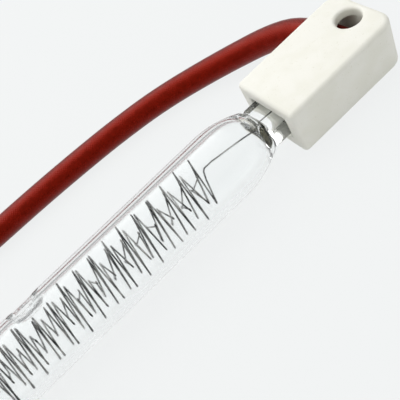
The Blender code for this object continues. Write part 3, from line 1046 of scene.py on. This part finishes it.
@dataclass
class HeatingWire:
    """One length of wire: a seven-pointed star wound along the tube, and a leg into each seal."""

    radius: float = 0.12
    bore_radius: float = 4.9
    clearance: float = 0.3
    coil_from_cap: float = 14.45
    tip_pitch: float = 0.397
    tip_bend: float = 0.2
    bend_reach: float = 0.12
    star_points: int = 7
    star_step: int = 3
    star_drift: float = 1.7
    end_lean: float = 0.75
    middle_lean: float = 1.4
    lean_rise: float = 40.0
    last_lean_angle: float = 63.0
    lean_turn_length: float = 255.0
    last_tip_angle: float = -137.0
    last_tip_radius: float = 3.6
    uneven_pitch: float = 0.12
    pitch_beat: float = 1.7
    uneven_tips: float = 0.1
    tips_beat: float = 2.3
    tip_off_half_width: float = 3.4
    tip_off_height: float = 1.1
    leg_route: tuple[Place, ...] = (
        (-13.99, 0.10, 0.09), (-13.43, 0.94, 0.87), (-13.03, 1.18, 1.09),
        (-11.55, 1.18, 1.10), (-2.6, 0.28, 0.26), (2.3, 0.0, 0.0),
    )

    @property
    def coil_radius(self) -> float:
        """How far the longest star tips stand from the axis."""
        return self.bore_radius - self.radius - self.clearance

    def tip_radius(self, number: int, along: float, angle: float) -> float:
        """How far a star tip stands from the axis.

        Args:
            number: The tip's number from end b.
            along: Its place along X.
            angle: Its angle round the axis, in radians.

        Returns:
            The distance, which is shorter where the tip-off bulges inwards.
        """
        ahead = abs(along - CAP_FRONT + TIP_OFF_FROM_CAP)
        aside = abs(math.remainder(angle - math.radians(TIP_OFF_ANGLE), math.tau))
        if ahead < TIP_OFF_LENGTH / 2 and aside < self.tip_off_half_width / self.bore_radius:
            return self.coil_radius - self.tip_off_height
        return self.coil_radius - self.uneven_tips * (1 + math.sin(self.tips_beat * number))

    def lean(self, tips_from_end: int, tips_from_a: int, angle: float) -> float:
        """How far ahead a tip stands because its star leans.

        Args:
            tips_from_end: How many tips lie between it and the coil's nearer end.
            tips_from_a: How many lie between it and end a.
            angle: The tip's angle round the axis, in radians.

        Returns:
            The distance along X.
        """
        rise = min(1.0, self.tip_pitch * tips_from_end / self.lean_rise)
        lean = self.end_lean + (self.middle_lean - self.end_lean) * rise
        turned = math.tau * self.tip_pitch * tips_from_a / self.lean_turn_length
        return lean * math.cos(angle - math.radians(self.last_lean_angle) - turned)

    def star(self) -> Ring:
        """Winds the path of the coil.

        Returns:
            The path from end b to end a, with two points for each tip of a star.
        """
        count = round(2 * (CAP_FRONT - self.coil_from_cap) / self.tip_pitch)
        turn = math.tau * self.star_step / self.star_points + math.radians(self.star_drift)
        half_bend = self.tip_bend / self.coil_radius
        points = []
        for number in range(count + 1):
            angle = math.radians(self.last_tip_angle) - turn * (count - number)
            along = self.tip_pitch * (number - count / 2)
            along += self.uneven_pitch * math.sin(self.pitch_beat * number)
            along += self.lean(min(number, count - number), count - number, angle)
            radius = self.tip_radius(number, along, angle)
            if number in (0, count):
                radius = self.last_tip_radius
            for side in (half_bend, -half_bend):
                place = Vector((0, math.cos(angle + side), math.sin(angle + side))) * radius
                points.append(place + Vector((along, 0, AXIS_HEIGHT)))
        return points

    def build(self) -> None:
        """Makes the wire, from one leg through the coil to the other leg."""
        start = Vector((CAP_FRONT, 0, AXIS_HEIGHT))
        leg = [start + Vector(place) for place in self.leg_route]
        other = [Vector((-point.x, -point.y, point.z)) for point in leg]
        line = rounded_bends(other[::-1] + self.star() + leg, self.bend_reach)
        coil = add_wire("star_wound_wire", line, self.radius, resolution=2)
        shade_smooth(coil, angle=75)
        hand_over(coil, ResistanceWire().build(), "resistance_wire", "heating_coil")


@dataclass
class CeramicCap:
    """The pressed cap: slot for the seal, wire chamber, round hole and an outlet in its side."""

    width: float = 13.0
    height: float = 8.8
    edge: float = 0.8
    end_corner: float = 2.6
    end_wall: float = 1.2
    side_wall: float = 1.9
    face_wall: float = 1.5
    chamber_length: float = 10.6
    chamber_rounding: float = 0.5
    slot_width: float = 8.3
    slot_height: float = 4.7
    slot_squareness: float = 10.0
    slot_rounding: float = 0.3
    hole_from_end: float = 3.3
    hole_radius: float = 2.1
    hole_rounding: float = 0.55
    hole_sides: int = 64
    outlet_radius: float = 2.6

    def make_block(self) -> Piece:
        """Presses the outside: round upright corners at the far end, soft edges all over.

        Returns:
            The solid block.
        """
        low = Vector((CAP_FRONT, -self.width / 2, AXIS_HEIGHT - self.height / 2))
        high = Vector((CAP_END, self.width / 2, AXIS_HEIGHT + self.height / 2))
        block = add_block("steatite_cap", low, high)
        far_corners = upright_edges((CAP_FRONT + CAP_END) / 2, 1)
        round_edges(block, far_corners, self.end_corner, segments=12)
        round_edges(block, is_sharp, self.edge, segments=8)
        return block

    @staticmethod
    def mouth(rounding: float, steps: int) -> list[Span]:
        """The profile of a rounded mouth, from its edge inwards: each step's depth and flare."""
        turns = [math.pi / 2 * share for share in shares(steps)]
        return [(rounding * (1 - math.cos(t)), rounding * (1 - math.sin(t))) for t in turns]

    def slot(self) -> Piece:
        """Shapes the core of the slot.

        Returns:
            The core, flared where the slot's mouth is rounded.
        """
        end = CAP_END - self.end_wall - self.chamber_length + PAST
        profile = [(-PAST, self.slot_rounding), *self.mouth(self.slot_rounding, steps=6)]
        rings = []
        for depth, flare in [*profile, (end - CAP_FRONT, 0.0)]:
            half_width = self.slot_width / 2 + flare
            half_height = self.slot_height / 2 + flare
            along = CAP_FRONT + depth
            rings.append(ring_across(along, half_width, half_height, self.slot_squareness))
        return add_skin("slot", rings)

    def chamber(self) -> Piece:
        """Shapes the core of the wire chamber.

        Returns:
            The core.
        """
        end = CAP_END - self.end_wall
        half_width = self.width / 2 - self.side_wall
        half_height = self.height / 2 - self.face_wall
        low = Vector((end - self.chamber_length, -half_width, AXIS_HEIGHT - half_height))
        core = add_block("chamber", low, Vector((end, half_width, AXIS_HEIGHT + half_height)))
        round_edges(core, is_sharp, self.chamber_rounding, segments=4)
        return core

    def hole(self) -> Piece:
        """Shapes the core of the round hole in the wide face.

        Returns:
            The core, flared where the hole's rim is rounded.
        """
        profile = [(-PAST, self.hole_rounding), *self.mouth(self.hole_rounding, steps=8)]
        turns = [math.tau * share for share in shares(self.hole_sides)[:-1]]
        centre = CAP_END - self.hole_from_end
        rings = []
        for depth, flare in [*profile, (self.height / 2, 0.0)]:
            radius = self.hole_radius + flare
            top = AXIS_HEIGHT + self.height / 2 - depth
            rings.append(
                [Vector((centre + radius * math.cos(t), radius * math.sin(t), top)) for t in turns]
            )
        return add_skin("hole", rings)

    def build(self, route: Ring) -> None:
        """Makes the two caps.

        Args:
            route: The route of lead a, which the outlet follows.
        """
        cap = self.make_block()
        outlet = add_rod("outlet", route[1], 2 * route[2] - route[1], self.outlet_radius)
        for core in (self.slot(), self.chamber(), outlet, self.hole()):
            cut(cap, core)
        shade_smooth(cap, angle=30)
        deliver(cap, SteatiteCeramic().build(), "unglazed_ceramic", "ceramic_cap")


@dataclass
class HeldParts:
    """What the seals and caps hold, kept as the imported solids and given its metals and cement."""

    def build(self) -> None:
        """Gives each of these nodes its material."""
        molybdenum = MOLYBDENUM.build()
        finishes = {
            "seal_foil": molybdenum,
            "outer_pin": molybdenum,
            "splice": NICKEL_PLATE.build(),
            "core": NICKEL_STRANDS.build(),
            "cement": PottingCement().build(),
        }
        for name, material in finishes.items():
            for end in End:
                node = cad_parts[f"{name}_{end.suffix}"]
                node.data.materials.clear()
                node.data.materials.append(material)
                LOG.info("%s: dressed", node.name)


@dataclass
class Studio:
    """A pale table under one large softbox, in a room that darkens near the horizon."""

    table: str = "#F2F4F4"
    table_size: float = 3000.0
    table_gap: float = 0.02
    table_glow: float = 0.93
    room_light: float = 0.54
    horizon_shade: float = 0.3
    horizon_band: Span = (0.02, 0.25)
    sky_glow: float = 0.95
    softbox_place: Place = (20.0, 190.0, 330.0)
    softbox_aim: Place = (60.0, 0.0, 5.0)
    softbox_size: float = 430.0
    softbox_power: float = 1.16
    # Paths end late, because the glass turns black where they end
    bounces: int = 24
    glossy_bounces: int = 16

    def build_table(self) -> None:
        """Lays the table: pale to the eye and through glass, and shaded where light is blocked."""
        under = (0, 0, -self.table_gap * MM)
        bpy.ops.mesh.primitive_plane_add(size=self.table_size * MM, location=under)
        table = new_piece("pale_table")
        surface = Surface("matt_pale_board", Base_Color=srgb(self.table), Roughness=1.0)
        tree = surface.tree
        glow = add_node(tree, "Emission", {"Color": srgb(self.table)})
        real = surface.shader.outputs[0]
        self.show(tree, "Material Output", real, glow.outputs[0], self.table_glow)
        table.data.materials.append(surface.material)

    @staticmethod
    def show(tree: NodeTree, output: str, real: Socket, shown: Socket, share: float) -> None:
        """Mixes two shaders for the output, one for light and one for what is seen.

        Args:
            tree: The node tree.
            output: The name of its output node.
            real: The shader that lights the scene.
            shown: The shader for rays to the eye, by reflection and through glass.
            share: How much of it they get.
        """
        rays = add_node(tree, "LightPath").outputs
        seen = calculate(tree, "MAXIMUM", rays["Is Camera Ray"], rays["Is Glossy Ray"])
        seen = calculate(tree, "MAXIMUM", seen, rays["Is Transmission Ray"])
        values = {0: calculate(tree, "MULTIPLY", seen, share), 1: real, 2: shown}
        mixed = add_node(tree, "MixShader", values).outputs[0]
        tree.links.new(mixed, tree.nodes[output].inputs["Surface"])

    def build_room(self) -> None:
        """Fills the world: plain light for the surfaces, and a darker horizon behind glass."""
        world = bpy.data.worlds.new("studio")
        bpy.context.scene.world = world
        world.use_nodes = True
        tree = world.node_tree
        plain = tree.nodes["Background"]
        plain.inputs["Color"].default_value = (1.0, 1.0, 1.0, 1.0)
        plain.inputs["Strength"].default_value = self.room_light
        place = add_node(tree, "TexCoord").outputs["Generated"]
        height = add_node(tree, "SeparateXYZ", {"Vector": place}).outputs["Z"]
        band = map_range(tree, height, self.horizon_band, (self.horizon_shade, self.sky_glow))
        to_eye = add_node(tree, "LightPath").outputs["Is Camera Ray"]
        lit = calculate(tree, "MAXIMUM", band, to_eye)
        shown = add_node(tree, "Background", {"Color": srgb(self.table), "Strength": lit})
        self.show(tree, "World Output", plain.outputs[0], shown.outputs[0], share=1.0)

    def build_softbox(self) -> None:
        """Hangs the softbox above and behind the tube."""
        data = bpy.data.lights.new("softbox", "AREA")
        data.shape = "SQUARE"
        data.size = self.softbox_size * MM
        data.energy = self.softbox_power
        lamp = add_object("softbox", data)
        place = Vector(self.softbox_place) * MM
        turn = (place - Vector(self.softbox_aim) * MM).to_track_quat("Z", "Y").to_matrix().to_4x4()
        lamp.matrix_world = Matrix.Translation(place) @ turn

    def build(self) -> None:
        """Sets up the table, the room, the softbox and how light is traced."""
        self.build_table()
        self.build_room()
        self.build_softbox()
        bpy.context.scene.view_settings.view_transform = "Standard"
        cycles = bpy.context.scene.cycles
        cycles.max_bounces = self.bounces
        cycles.glossy_bounces = self.glossy_bounces
        cycles.transmission_bounces = self.bounces


def main() -> None:
    """Dresses the whole object, lead by lead and piece by piece."""
    logging.basicConfig(level=logging.INFO, format="%(message)s")
    Viewpoint().build()
    lead = SleevedLead()
    route = lead.route()
    lead.build(TabTerminal().build(route))
    QuartzEnvelope().build()
    HeatingWire().build()
    CeramicCap().build(route)
    HeldParts().build()
    Studio().build()


if __name__ == "__main__":
    main()
